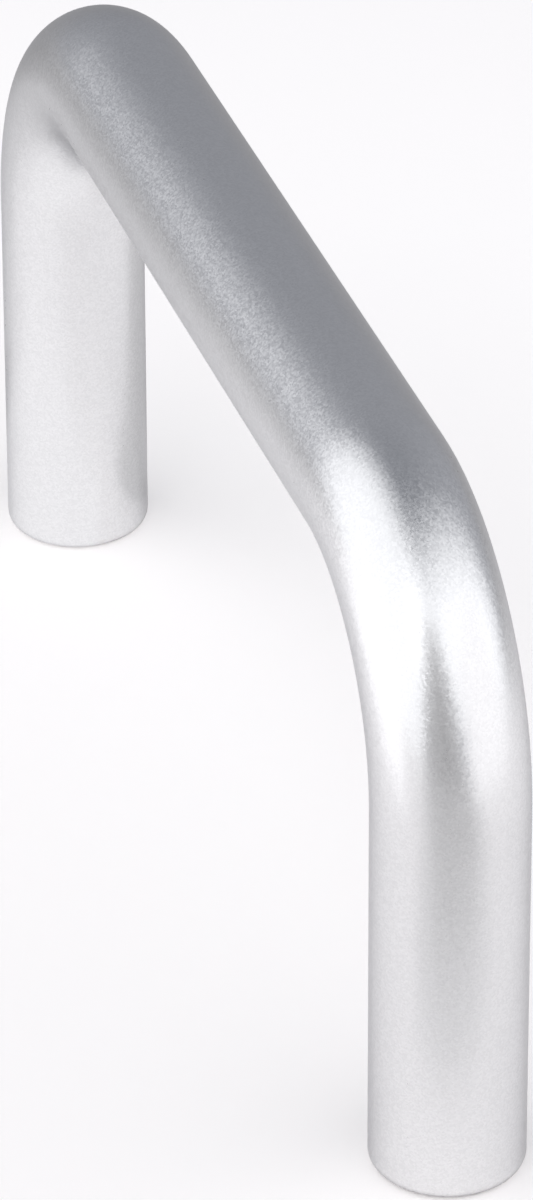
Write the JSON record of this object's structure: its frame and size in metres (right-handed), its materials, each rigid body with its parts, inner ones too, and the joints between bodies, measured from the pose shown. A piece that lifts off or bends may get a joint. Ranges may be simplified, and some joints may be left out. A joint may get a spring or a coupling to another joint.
{
  "type": "bridge handle",
  "caption": "U-shaped bridge handle bent in one piece from solid round bar, with flat ends, rounded rims and blind tapped holes for screws from behind the panel.",
  "frame": {"origin": "midway between the two legs, on the plane of their flat ends", "axes": "+X along the grip, +Y across the bar, +Z from the mounting plane towards the grip"},
  "size_m": [0.112, 0.012, 0.055],
  "materials": {
    "bar": "satin"
  },
  "bodies": {
    "root": {"handle": "bar"}
  },
  "joints": []
}
